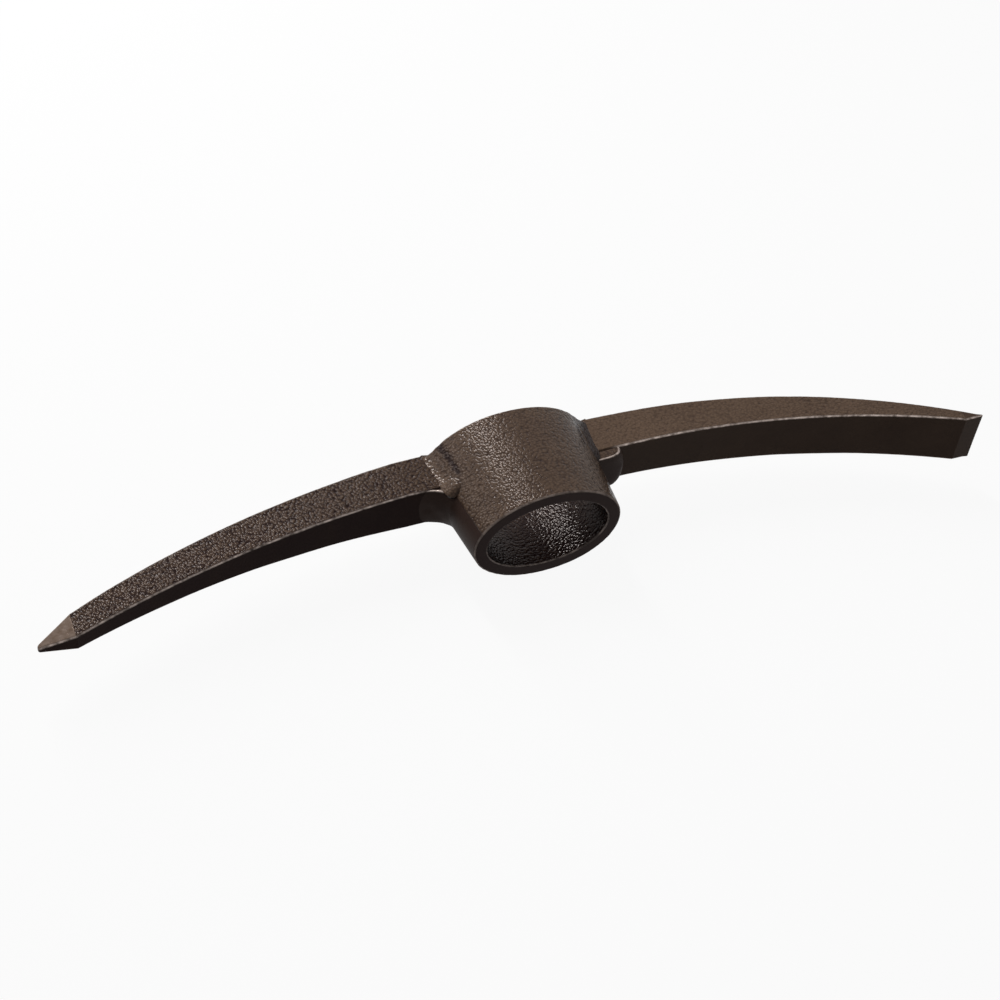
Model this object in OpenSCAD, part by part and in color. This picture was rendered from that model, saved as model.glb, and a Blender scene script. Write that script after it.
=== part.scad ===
// Pick head without its handle: an oval eye with a pointed arm and a chisel arm welded to its ends.
// The pieces are drawn as the head is used: Z is the axis of the eye with the crown up, the point
// lies towards -X and the chisel towards +X, and both arms fall towards the handle end. The finished
// head is laid on its side: X stays along the arms, the crown faces +Y and the front faces up.
// The origin is on the axis of the eye, halfway along it. All sizes are in millimetres.

/* [Eye] */
// Length of the handle hole at the handle end, along the arms
hole_length = 70; // [60:0.5:80]
// Width of the handle hole at the handle end
hole_width = 44.5; // [38:0.5:52]
// Thickness of the wall of the eye
eye_wall = 8; // [6:0.5:11]
// Height of the eye along the handle
eye_height = 64; // [52:1:80]
// How far each end of the oval leans out between the handle end and the crown
eye_flare = 5.8; // [1:0.1:9]
// Broken edge of both rims
rim_break = 1.2; // [0.4:0.1:2]

/* [Bar] */
// Reach of the tip of each arm from the axis of the eye
arm_reach = 270; // [220:1:320]
// Width of the bar where it meets the eye
bar_width = 25.4; // [20:0.1:30]
// Depth of the bar where it meets the eye
bar_depth = 26.4; // [20:0.1:31]
// Height of the back of the bar above the crown, where it meets the eye
back_rise = 1; // [0:0.1:2]
// Length of bar at the eye that keeps its full width
shank_length = 20; // [5:1:40]
// Radius of the long edges of the bar
edge_radius = 1.3; // [0.6:0.1:2]

/* [Point arm] */
// Fall of the back of the point arm from the crown to its tip
point_drop = 52; // [30:0.5:70]
// Radius of the belly of the point arm
point_belly_radius = 560; // [420:5:900]
// Depth of the bar at the reach of the point, before it is ground
point_tip_depth = 14.5; // [11:0.5:18]
// Width of the point arm halfway along its taper
point_mid_width = 15.6; // [13:0.1:20]
// Width of the bar at the reach of the point, before it is ground
point_tip_width = 8.6; // [7:0.1:13]
// Length of the four ground faces of the point
point_grind = 19; // [12:1:35]
// Width across the blunted end of the point
point_blunt = 3; // [1.5:0.1:5]

/* [Chisel arm] */
// Fall of the back of the chisel arm from the crown to its cutting edge
chisel_drop = 68.5; // [45:0.5:85]
// Radius of the belly of the chisel arm
chisel_belly_radius = 472; // [380:4:800]
// Depth of the bar at the cutting edge, before it is ground
chisel_tip_depth = 6; // [4:0.5:9]
// Width of the chisel arm halfway along its spread
chisel_mid_width = 29.8; // [24:0.1:36]
// Width of the cutting edge
chisel_tip_width = 33; // [26:0.5:42]
// Length of the ground bevel on the belly side
chisel_bevel = 11; // [5:0.5:16]
// Thickness of the land left along the cutting edge
chisel_land = 0.9; // [0.4:0.1:1.5]

/* [Welds] */
// Leg along the bar of the point arm's side welds
point_side_leg = 5; // [3:0.5:10]
// Leg along the bar of the point arm's underside weld
point_under_leg = 13; // [5:0.5:16]
// Leg along the eye of the point arm's side welds
point_side_eye_leg = 6.5; // [3:0.5:8]
// Leg along the eye of the point arm's underside weld
point_under_eye_leg = 9.5; // [4:0.5:12]
// Leg along the bar of the chisel arm's side welds
chisel_side_leg = 3.5; // [3:0.5:10]
// Leg along the bar of the chisel arm's underside weld
chisel_under_leg = 13.5; // [5:0.5:16]
// Leg along the eye of the chisel arm's side welds
chisel_side_eye_leg = 6.5; // [3:0.5:8]
// Leg along the eye of the chisel arm's underside weld
chisel_under_eye_leg = 6; // [4:0.5:12]
// Depth of the groove that the crown welds fill
crown_groove = 5; // [3:0.5:6]
// Height of the crown welds above the crown
crown_swell = 0.8; // [0.3:0.1:1.5]
// Distance between two ripples of a weld
ripple_pitch = 3.4; // [2.5:0.1:6]
// Height of a ripple, across the face of a weld
ripple_height = 0.45; // [0:0.05:0.8]
// Height of the step at the toes of a weld
toe_step = 0.4; // [0.2:0.05:0.8]

/* [Hidden] */

// Counts of facets, stations and points
round_facets = 180;
corner_steps = 3;
body_stations = 30;
ground_stations = 3;
ripple_stations = 4;
face_points = 5;

// Overrun of every cut
overrun = 1;
steel = "#2b231f";
weld_metal = "#332a25";

// Shape of a weld face between its toes: 0 is hollow, 0.5 is flat, more stands full
hollow_share = 0.16;
flat_share = 0.5;
full_share = 0.74;
// Height of the tip of the point in the depth of the bar there, up from the belly
point_tip_share = 0.66;
// Largest share of the section's half size that an edge radius may take
edge_limit_share = 0.8;

// Sizes of the eye that follow from the driving sizes
crown_z = eye_height / 2;
mouth_z = -eye_height / 2;
low_break_z = mouth_z + rim_break;
high_break_z = crown_z - rim_break;
hole_half = hole_length / 2;
hole_aspect = hole_width / hole_length;
eye_half = hole_half + eye_wall;
eye_aspect = (hole_width / 2 + eye_wall) / eye_half;
// The arms are laid out from the mean end of the oval, and run back into its wall
root_x = eye_half + eye_flare / 2;
buried_x = eye_half - eye_wall / 2;
root_back_z = crown_z + back_rise;
root_z = root_back_z - bar_depth;
weld_sink = edge_radius / 2;

// One arm is [drop, tip depth, belly radius, middle width, tip width]
POINT = [point_drop, point_tip_depth, point_belly_radius, point_mid_width, point_tip_width];
CHISEL = [chisel_drop, chisel_tip_depth, chisel_belly_radius, chisel_mid_width, chisel_tip_width];
// The welds of one arm are [side leg, underside leg, side eye leg, underside eye leg, underside face shape]
POINT_WELDS = [point_side_leg, point_under_leg, point_side_eye_leg, point_under_eye_leg, hollow_share];
CHISEL_WELDS = [chisel_side_leg, chisel_under_leg, chisel_side_eye_leg, chisel_under_eye_leg, full_share];

function clamp(v, low, high) = min(max(v, low), high);
function mix(a, b, t) = a + (b - a) * t;
function unit(v) = v / norm(v);

// Outside of the eye: half length, half width and the end of the oval at a height z
function eye_half_length(z) = eye_half + eye_flare * (z - mouth_z) / eye_height;
function eye_half_width(z) = eye_aspect * eye_half_length(z);
function hole_half_length(z) = eye_half_length(z) - eye_wall;
function eye_wall_x(y, z) = eye_half_length(z) * sqrt(max(0, 1 - (y / eye_half_width(z)) ^ 2));
function eye_normal(p) = let (a = eye_half_length(p.z), b = eye_half_width(p.z))
    unit([p.x / a ^ 2, p.y / b ^ 2, -eye_flare / eye_height / a]);

// Back of an arm: an arc that leaves the eye level and lies below the crown by the drop at the reach
run = arm_reach - root_x;
function back_radius(arm) = let (fall = back_rise + arm[0]) (run ^ 2 + fall ^ 2) / (2 * fall);
function back_z(arm, x) = x <= root_x ? root_back_z
    : root_back_z - back_radius(arm) + sqrt(back_radius(arm) ^ 2 - (x - root_x) ^ 2);

// Belly of an arm: an arc of its own radius between its depth at the eye and its depth at the reach
function belly_centre(arm) = let (
        fall = root_z - (crown_z - arm[0] - arm[1]),
        chord = norm([run, fall]),
        rise = sqrt(arm[2] ^ 2 - (chord / 2) ^ 2))
    [root_x + run / 2 - rise * fall / chord, root_z - fall / 2 - rise * run / chord];
function belly_z(arm, x) = let (c = belly_centre(arm)) c.y + sqrt(arm[2] ^ 2 - (x - c.x) ^ 2);

// Width of an arm: the full bar along the shank, then a curve through its middle and tip widths
function arm_width(arm, x) = let (
        start = root_x + shank_length,
        u = clamp((x - start) / (arm_reach - start), 0, 1))
    bar_width + (4 * arm[3] - 3 * bar_width - arm[4]) * u + (2 * bar_width + 2 * arm[4] - 4 * arm[3]) * u ^ 2;

// Ring of points round a rectangular section with rounded corners, anticlockwise seen from +X
function section_ring(x, width, low_z, high_z) = let (
        half_w = width / 2,
        half_d = (high_z - low_z) / 2,
        r = min(edge_radius, edge_limit_share * min(half_w, half_d)))
    [for (corner = [0:3]) for (k = [0:corner_steps]) let (
            a = 90 * (corner + k / corner_steps),
            cy = (corner == 0 || corner == 3 ? 1 : -1) * (half_w - r),
            cz = (corner < 2 ? 1 : -1) * (half_d - r))
        [x, cy + r * cos(a), low_z + half_d + cz + r * sin(a)]];

function bar_ring(arm, x) = section_ring(x, arm_width(arm, x), belly_z(arm, x), back_z(arm, x));

function body_rings(arm, end_x) =
    [for (i = [0:body_stations]) bar_ring(arm, mix(buried_x, end_x, i / body_stations))];

// Ground faces of the point: the section shrinks evenly on all four sides to the blunt end
function point_rings() = let (
        start = arm_reach - point_grind,
        low = belly_z(POINT, start),
        high = back_z(POINT, start),
        tip_z = mix(belly_z(POINT, arm_reach), back_z(POINT, arm_reach), point_tip_share))
    [for (i = [1:ground_stations]) let (t = i / ground_stations)
        section_ring(mix(start, arm_reach, t), mix(arm_width(POINT, start), point_blunt, t),
            mix(low, tip_z - point_blunt / 2, t), mix(high, tip_z + point_blunt / 2, t))];

// Ground bevel of the chisel: the belly rises to the land under the end of the back
function chisel_rings() = let (
        start = arm_reach - chisel_bevel,
        low = belly_z(CHISEL, start),
        land_z = back_z(CHISEL, arm_reach) - chisel_land)
    [for (i = [1:ground_stations]) let (
            t = i / ground_stations,
            x = mix(start, arm_reach, t))
        section_ring(x, arm_width(CHISEL, x), mix(low, land_z, t), back_z(CHISEL, x))];

// Solid through a row of rings, each anticlockwise seen from the far end of the row. Each end is a fan
// from the first point of its ring, so two solids that share an end ring meet face to face.
module loft(rings) {
    n = len(rings[0]);
    last = (len(rings) - 1) * n;
    sides = [for (i = [0:len(rings) - 2]) for (j = [0:n - 1]) let (
            a = i * n + j,
            b = i * n + (j + 1) % n)
        each [[a, a + n, b + n], [a, b + n, b]]];
    near_cap = [for (j = [1:n - 2]) [0, j, j + 1]];
    far_cap = [for (j = [1:n - 2]) [last, last + j + 1, last + j]];
    polyhedron([for (ring = rings) each ring], concat(sides, near_cap, far_cap));
}

// A profile turned to an oval, in four quarters that meet between the arms and the cheeks
module oval_turn(aspect) {
    for (quarter = [0:3])
        scale([1, aspect, 1])
            rotate([0, 0, 90 * quarter - 45])
                rotate_extrude(angle = 90, $fn = round_facets)
                    children();
}

// Outside of the eye as a solid oval cone, running past both rims along their broken edges
module eye_cone() {
    past = rim_break + overrun;
    low_half = eye_half_length(low_break_z);
    high_half = eye_half_length(high_break_z);
    oval_turn(eye_aspect)
        polygon([[0, mouth_z - overrun], [low_half - past, mouth_z - overrun], [low_half, low_break_z],
            [high_half, high_break_z], [high_half - past, crown_z + overrun], [0, crown_z + overrun]]);
}

// The wall of the eye as the bars and welds meet it: the plain cone, past the mouth and the backs
module eye_cope() {
    low = mouth_z - overrun;
    high = root_back_z + overrun;
    oval_turn(eye_aspect)
        polygon([[0, low], [eye_half_length(low), low], [eye_half_length(high), high], [0, high]]);
}

// The handle hole with its flare, running past both rims along their broken edges
module handle_hole() {
    past = rim_break + overrun;
    low_half = hole_half_length(low_break_z);
    high_half = hole_half_length(high_break_z);
    oval_turn(hole_aspect)
        polygon([[0, mouth_z - overrun], [low_half + past, mouth_z - overrun], [low_half, low_break_z],
            [high_half, high_break_z], [high_half + past, crown_z + overrun], [0, crown_z + overrun]]);
}

module eye_ring() {
    slab = 2 * (eye_half + eye_flare + overrun);
    color(steel) difference() {
        intersection() {
            eye_cone();
            translate([0, 0, mouth_z])
                linear_extrude(eye_height)
                    square(slab, center = true);
        }
        handle_hole();
    }
}

// Groove in the top of the bar along the wall of the eye, as its corners [rim, foot, toe] at one y
function groove_corners(y) = let (p = [eye_wall_x(y, crown_z), y, crown_z])
    [p, [eye_wall_x(y, crown_z - crown_groove), y, crown_z - crown_groove], p + [crown_groove, 0, back_rise]];

into_wall = [-weld_sink, 0, 0];
clear_up = [0, 0, overrun];
function groove_ring(y) = let (c = groove_corners(y))
    [c[1] + into_wall, c[1], c[2], c[2] + clear_up, c[0] + into_wall + clear_up + [0, 0, back_rise]];

// The crown weld fills the groove and swells above it
function crown_ring(y, swell) = let (c = groove_corners(y))
    concat([c[1] + into_wall, c[1], c[2]],
        [for (k = [1:face_points]) let (t = k / (face_points + 1))
            mix(c[2], c[0], t) + [0, 0, 4 * swell * t * (1 - t)]],
        [c[0] + into_wall]);

crown_stations = ripple_stations * round(bar_width / ripple_pitch);
function crown_swell_at(i) = crown_swell + ripple_height * (cos(360 * i / ripple_stations) - 1) / 2;
function crown_y(i) = bar_width * (1 / 2 - i / crown_stations);

// The groove runs out through both sides of the bar, and the weld stops one station short of them
module crown_groove_cut() {
    past = bar_width / 2 + overrun;
    loft(concat([groove_ring(past)], [for (i = [0:crown_stations]) groove_ring(crown_y(i))], [groove_ring(-past)]));
}

module crown_weld() {
    color(weld_metal) difference() {
        loft([for (i = [1:crown_stations - 1]) crown_ring(crown_y(i), crown_swell_at(i))]);
        eye_cope();
    }
}

module bar(rings) {
    color(steel) difference() {
        loft(rings);
        eye_cope();
        crown_groove_cut();
    }
}

function point_bar() = concat(body_rings(POINT, arm_reach - point_grind), point_rings());
function chisel_bar() = concat(body_rings(CHISEL, arm_reach - chisel_bevel), chisel_rings());

module point_arm() {
    mirror([1, 0, 0]) bar(point_bar());
}

module chisel_arm() {
    bar(chisel_bar());
}

// Walk round the root of a bar, seen from its end: down the front, under the belly and up the back.
// One stop is [y, z, normal y, normal z, share of underside].
half_bar = bar_width / 2;
flat_half = half_bar - edge_radius;
side_stops = ripple_stations * round(bar_depth / ripple_pitch);
under_stops = ripple_stations * round(bar_width / ripple_pitch);
corner_stops = 3;
function side_stop(t) = [-half_bar, mix(crown_z - edge_radius, root_z + edge_radius, t), -1, 0, 0];
function corner_stop(t) = let (a = 180 + 90 * t)
    [-flat_half + edge_radius * cos(a), root_z + edge_radius + edge_radius * sin(a), cos(a), sin(a), t];
function under_stop(t) = [mix(-flat_half, flat_half, t), root_z, 0, -1, 1];
front_walk = concat([for (i = [0:side_stops - 1]) side_stop(i / side_stops)],
    [for (i = [0:corner_stops]) corner_stop(i / corner_stops / 2)]);
half_under_walk = [for (i = [0:corner_stops - 1]) corner_stop((1 + i / corner_stops) / 2)];
function across(stop) = [-stop[0], stop[1], -stop[2], stop[3], stop[4]];
function reversed(list) = [for (i = [len(list) - 1:-1:0]) list[i]];
under_walk = concat(half_under_walk, [for (i = [0:under_stops]) under_stop(i / under_stops)],
    [for (stop = reversed(half_under_walk)) across(stop)]);
back_walk = [for (stop = reversed(front_walk)) across(stop)];

// Section of a weld at one stop: its root lies in the steel, one toe on the bar and one on the eye
function weld_ring(stop, i, arm, welds) = let (
        p = [eye_wall_x(stop[0], stop[1]), stop[0], stop[1]],
        bar_out = [0, stop[2], stop[3]],
        eye_out = eye_normal(p),
        down_wall = unit(bar_out - (bar_out * eye_out) * eye_out),
        ripple = ripple_height * cos(360 * i / ripple_stations) / 2,
        bar_x = p.x + mix(welds[0], welds[1], stop[4]) + ripple,
        bar_foot = [bar_x, p.y, p.z + stop[4] * (belly_z(arm, bar_x) - root_z)],
        q = p + (mix(welds[2], welds[3], stop[4]) + ripple) * down_wall,
        eye_foot = [eye_wall_x(q.y, q.z), q.y, q.z],
        bar_toe = bar_foot + toe_step * bar_out,
        eye_toe = eye_foot + toe_step * eye_out,
        shape_share = mix(flat_share, welds[4], stop[4]),
        crest = p + shape_share * (bar_toe + eye_toe - 2 * p) + ripple * unit(bar_out + eye_out))
    concat([p - weld_sink * (bar_out + eye_out), bar_foot - weld_sink * bar_out],
        [for (k = [0:face_points]) let (t = k / face_points)
            (1 - t) ^ 2 * bar_toe + 2 * t * (1 - t) * crest + t ^ 2 * eye_toe],
        [eye_foot - weld_sink * eye_out]);

module weld_run(walk, arm, welds, rings) {
    color(weld_metal) difference() {
        loft([for (i = [0:len(walk) - 1]) weld_ring(walk[i], i, arm, welds)]);
        eye_cope();
        loft(rings);
    }
}

module point_weld(walk) {
    mirror([1, 0, 0]) weld_run(walk, POINT, POINT_WELDS, point_bar());
}

module chisel_weld(walk) {
    weld_run(walk, CHISEL, CHISEL_WELDS, chisel_bar());
}

// Turns a piece from the way it is used to the way the head is laid
module laid() {
    rotate([-90, 0, 0]) children();
}

laid() eye_ring();
laid() point_arm();
laid() chisel_arm();
laid() point_weld(front_walk);  // point_weld_front
laid() point_weld(under_walk);  // point_weld_under
laid() point_weld(back_walk);  // point_weld_back
laid() mirror([1, 0, 0]) crown_weld();  // point_weld_crown
laid() chisel_weld(front_walk);  // chisel_weld_front
laid() chisel_weld(under_walk);  // chisel_weld_under
laid() chisel_weld(back_walk);  // chisel_weld_back
laid() crown_weld();  // chisel_weld_crown
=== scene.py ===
import math

import bpy
import numpy as np
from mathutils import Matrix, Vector


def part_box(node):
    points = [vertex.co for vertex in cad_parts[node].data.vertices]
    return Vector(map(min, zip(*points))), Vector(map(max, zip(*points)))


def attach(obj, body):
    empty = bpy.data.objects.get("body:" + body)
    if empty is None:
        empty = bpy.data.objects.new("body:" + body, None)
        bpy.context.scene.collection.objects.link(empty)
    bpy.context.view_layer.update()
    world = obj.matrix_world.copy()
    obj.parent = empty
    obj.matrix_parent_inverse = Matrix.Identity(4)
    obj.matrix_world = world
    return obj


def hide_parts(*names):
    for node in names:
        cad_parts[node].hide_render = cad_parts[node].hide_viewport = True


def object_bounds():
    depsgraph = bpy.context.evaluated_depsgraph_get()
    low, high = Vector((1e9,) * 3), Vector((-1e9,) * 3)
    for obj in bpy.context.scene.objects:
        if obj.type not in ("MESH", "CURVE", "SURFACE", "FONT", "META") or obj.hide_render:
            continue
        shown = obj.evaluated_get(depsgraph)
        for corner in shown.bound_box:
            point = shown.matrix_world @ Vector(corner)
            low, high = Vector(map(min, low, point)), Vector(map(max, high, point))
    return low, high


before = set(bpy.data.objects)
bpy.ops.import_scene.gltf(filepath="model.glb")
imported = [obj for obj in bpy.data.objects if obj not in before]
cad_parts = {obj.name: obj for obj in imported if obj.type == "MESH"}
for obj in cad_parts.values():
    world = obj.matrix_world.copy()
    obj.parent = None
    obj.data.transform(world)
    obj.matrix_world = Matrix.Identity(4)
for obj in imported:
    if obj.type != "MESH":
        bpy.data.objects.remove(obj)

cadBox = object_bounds()
mm = 0.001
quarterTurn = math.pi / 2
print("frame:", len(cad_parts), "nodes loaded")

# The head is worked out in millimetres and as it is used: x runs along the arms, z up the eye to the crown,
# and the front is towards -y. layDown turns it on its side, (x, y, z) to (x, z, -y), and into metres.


def layDown(points):
    return np.stack([points[:, 0], points[:, 2], -points[:, 1]], axis=-1) * mm


# Blend from a to b by the share t
def mix(a, b, t):
    return a + (b - a) * t


# Smooth rise from 0 at low to 1 at high: three times the squared share less twice its cube
def smoothStep(low, high, value):
    t = np.clip((value - low) / (high - low), 0, 1)
    return t * t * (3 - 2 * t)


# Hump from 0 through 1 in the middle back to 0: four times the share times what is left of it
def hump(t):
    return 4 * t * (1 - t)


# Vectors divided by their lengths
def unit(vectors):
    return vectors / np.linalg.norm(vectors, axis=-1, keepdims=True)


# Surface texture in the mesh, in millimetres
surface = {
    "pebble": 0.15,         # height of the larger domes of the hammered paint
    "pebbleSize": 2.4,      # distance between two domes
    "wave": 0.2,            # slow unevenness of the forged steel under the paint
    "waveSize": 26.0,
    "seed": 11,
    "farGap": 3.0,          # more than any squared distance to a dome's middle
}
# Odd factors, masks and shifts that scatter the lattice indices
scatter = {
    "x": 73856093,
    "y": 19349663,
    "z": 83492791,
    "seed": 2654435761,
    "last": 1274126177,
    "word": 0xffffffff,
    "value": 0xffff,
    "firstShift": 13,
    "lastShift": 16,
}


# Repeatable value from 0 to 1 at each lattice corner: the indices times odd factors, mixed by xor and shifts
def cornerValue(corner, seed):
    mixed = corner[:, 0] * scatter["x"] ^ corner[:, 1] * scatter["y"] ^ corner[:, 2] * scatter["z"]
    mixed = mixed ^ seed * scatter["seed"]
    mixed = (mixed ^ mixed >> scatter["firstShift"]) & scatter["word"]
    mixed = mixed * scatter["last"] & scatter["word"]
    return ((mixed ^ mixed >> scatter["lastShift"]) & scatter["value"]) / scatter["value"]


# Smooth noise from -1 to 1: the eight corner values of a cell, weighted by smoothstep along each axis
def smoothNoise(points, size, seed):
    cell = np.floor(points / size).astype(np.int64)
    ease = smoothStep(0, 1, points / size - cell)
    total = np.zeros(len(points))
    for step in np.ndindex(2, 2, 2):
        weight = np.prod(np.where(np.array(step) == 1, ease, 1 - ease), axis=1)
        total += weight * cornerValue(cell + np.array(step), seed)
    return 2 * total - 1


# Domes from 0 to 1: each lattice cell holds one scattered middle, and the height falls with the square of the
# distance to the nearest middle, which leaves creases where two domes meet
def domes(points, size, seed):
    cell = np.floor(points / size).astype(np.int64)
    part = points / size - cell
    nearest = np.full(len(points), surface["farGap"])
    for step in np.ndindex(3, 3, 3):
        shift = np.array(step) - 1
        place = [cornerValue(cell + shift, seed + axis) for axis in range(3)]
        gap = np.stack(place, axis=-1) + shift - part
        nearest = np.minimum(nearest, np.sum(gap * gap, axis=1))
    return 1 - np.clip(nearest, 0, 1)


# Skin of a grid: quads between neighbours round each row and on to the next row. Both ends close in fans to
# their middle points, or the last row meets the first. The sign of the volume turns the faces outwards.
def skinGrid(grid, endless):
    rows, columns = grid.shape[:2]
    points = grid.reshape(-1, 3)
    here = np.arange(rows * columns).reshape(rows, columns)
    beside = np.roll(here, -1, axis=1)
    quads = np.stack([here, beside, np.roll(beside, -1, axis=0), np.roll(here, -1, axis=0)], axis=-1)
    fans = np.zeros((0, 3), int)
    if not endless:
        quads = quads[:-1]
        points = np.concatenate([points, [grid[0].mean(axis=0), grid[-1].mean(axis=0)]])
        firstMiddle = np.full(columns, rows * columns)
        firstFan = np.stack([beside[0], here[0], firstMiddle], axis=-1)
        lastFan = np.stack([here[-1], beside[-1], firstMiddle + 1], axis=-1)
        fans = np.concatenate([firstFan, lastFan])
    quads = quads.reshape(-1, 4)
    triangles = np.concatenate([quads[:, [0, 1, 2]], quads[:, [0, 2, 3]], fans])
    corners = points[triangles] - points.mean(axis=0)
    volume = np.sum(corners[:, 0] * np.cross(corners[:, 1], corners[:, 2]))
    if volume < 0:
        quads, fans, triangles = quads[:, ::-1], fans[:, ::-1], triangles[:, ::-1]
    return points, quads, fans, triangles


# Outward direction at each point: the area vectors of its triangles added up
def outward(points, triangles):
    corners = points[triangles]
    areas = np.cross(corners[:, 1] - corners[:, 0], corners[:, 2] - corners[:, 0])
    total = np.zeros_like(points)
    for corner in range(3):
        np.add.at(total, triangles[:, corner], areas)
    return unit(total)


# One finished piece: the grid is skinned, moved along its outward directions by slow waves and paint domes,
# laid down and put into a mesh that stands for its CAD node. Its looks are three shares at each point: grain
# says how pebbled the paint is, tone goes from the deep colour to the bright one and carries painted light
# and shade, and the share of wear and sheen is 1 on a rubbed edge, whose lighter colour is part wear and part
# painted highlight. The middle points of closed ends take the most of their rows.
def makePiece(name, node, grid, looks, endless, material):
    points, quads, fans, triangles = skinGrid(grid, endless)
    looks = {key: np.broadcast_to(look, grid.shape[:2]) for key, look in looks.items()}
    if not endless:
        ends = {key: look[[0, -1]].max(axis=1) for key, look in looks.items()}
        looks = {key: np.concatenate([look.ravel(), ends[key]]) for key, look in looks.items()}
    dome = domes(points, surface["pebbleSize"], surface["seed"])
    wave = surface["wave"] * smoothNoise(points, surface["waveSize"], surface["seed"])
    lift = wave + surface["pebble"] * looks["grain"].ravel() * (dome - 1)
    points = points + outward(points, triangles) * lift[:, None]
    mesh = bpy.data.meshes.new(name)
    mesh.from_pydata(layDown(points).tolist(), [], quads.tolist() + fans.tolist())
    smoothFaces = np.arange(len(quads) + len(fans)) < len(quads)
    mesh.polygons.foreach_set("use_smooth", smoothFaces)
    for key, look in looks.items():
        mesh.attributes.new(key, "FLOAT", "POINT").data.foreach_set("value", look.ravel().astype(np.float32))
    mesh.materials.append(material)
    mesh.update()
    piece = bpy.data.objects.new(name, mesh)
    bpy.context.scene.collection.objects.link(piece)
    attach(piece, "root")
    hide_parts(node)
    print(name + ":", len(points), "points")


# Values of the enamel that the three materials share
enamel = {
    "patchScale": 42,       # patches a few centimetres wide
    "patchDetail": 3,
    "patchShare": 0.35,
    "pebbleScale": 660,     # pebbles per metre
    "creaseShadeShare": -0.8,    # painted shade: how much darker the creases between the pebbles are
    "gloss": -0.45,         # change of roughness on pebbled or bright paint
    "wearSheenScale": 300,       # where the edges are rubbed, lighter as part wear and part painted highlight
    "wearSheenDetail": 2,
    "wearSheenGain": 2.0,
    "wearSheenStart": -0.3,
    "fineScale": 2400,      # finer grain on the pebbles
    "fineDetail": 2,
    "fineShare": 0.12,
    "smoothShare": 0.04,    # what is left of the relief on smooth steel
}
# Places of the inputs on a math node
mathInputs = {"first": 0, "second": 1, "third": 2}


# A math node with its operation and any fixed inputs
def mathNode(nodes, operation, **fixed):
    node = nodes.new("ShaderNodeMath")
    node.operation = operation
    for place, value in fixed.items():
        node.inputs[mathInputs[place]].default_value = value
    return node


# The pebbles that colour and relief share: distance to the nearest of scattered middles
def pebbleNode(nodes):
    pebbles = nodes.new("ShaderNodeTexVoronoi")
    pebbles.inputs["Scale"].default_value = enamel["pebbleScale"]
    return pebbles


# A noise node with its scale and detail
def noiseNode(nodes, scale, detail):
    noise = nodes.new("ShaderNodeTexNoise")
    noise.inputs["Scale"].default_value = scale
    noise.inputs["Detail"].default_value = detail
    return noise


# A node that blends two colours
def blendNode(nodes):
    blend = nodes.new("ShaderNodeMix")
    blend.data_type = "RGBA"
    return blend


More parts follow.
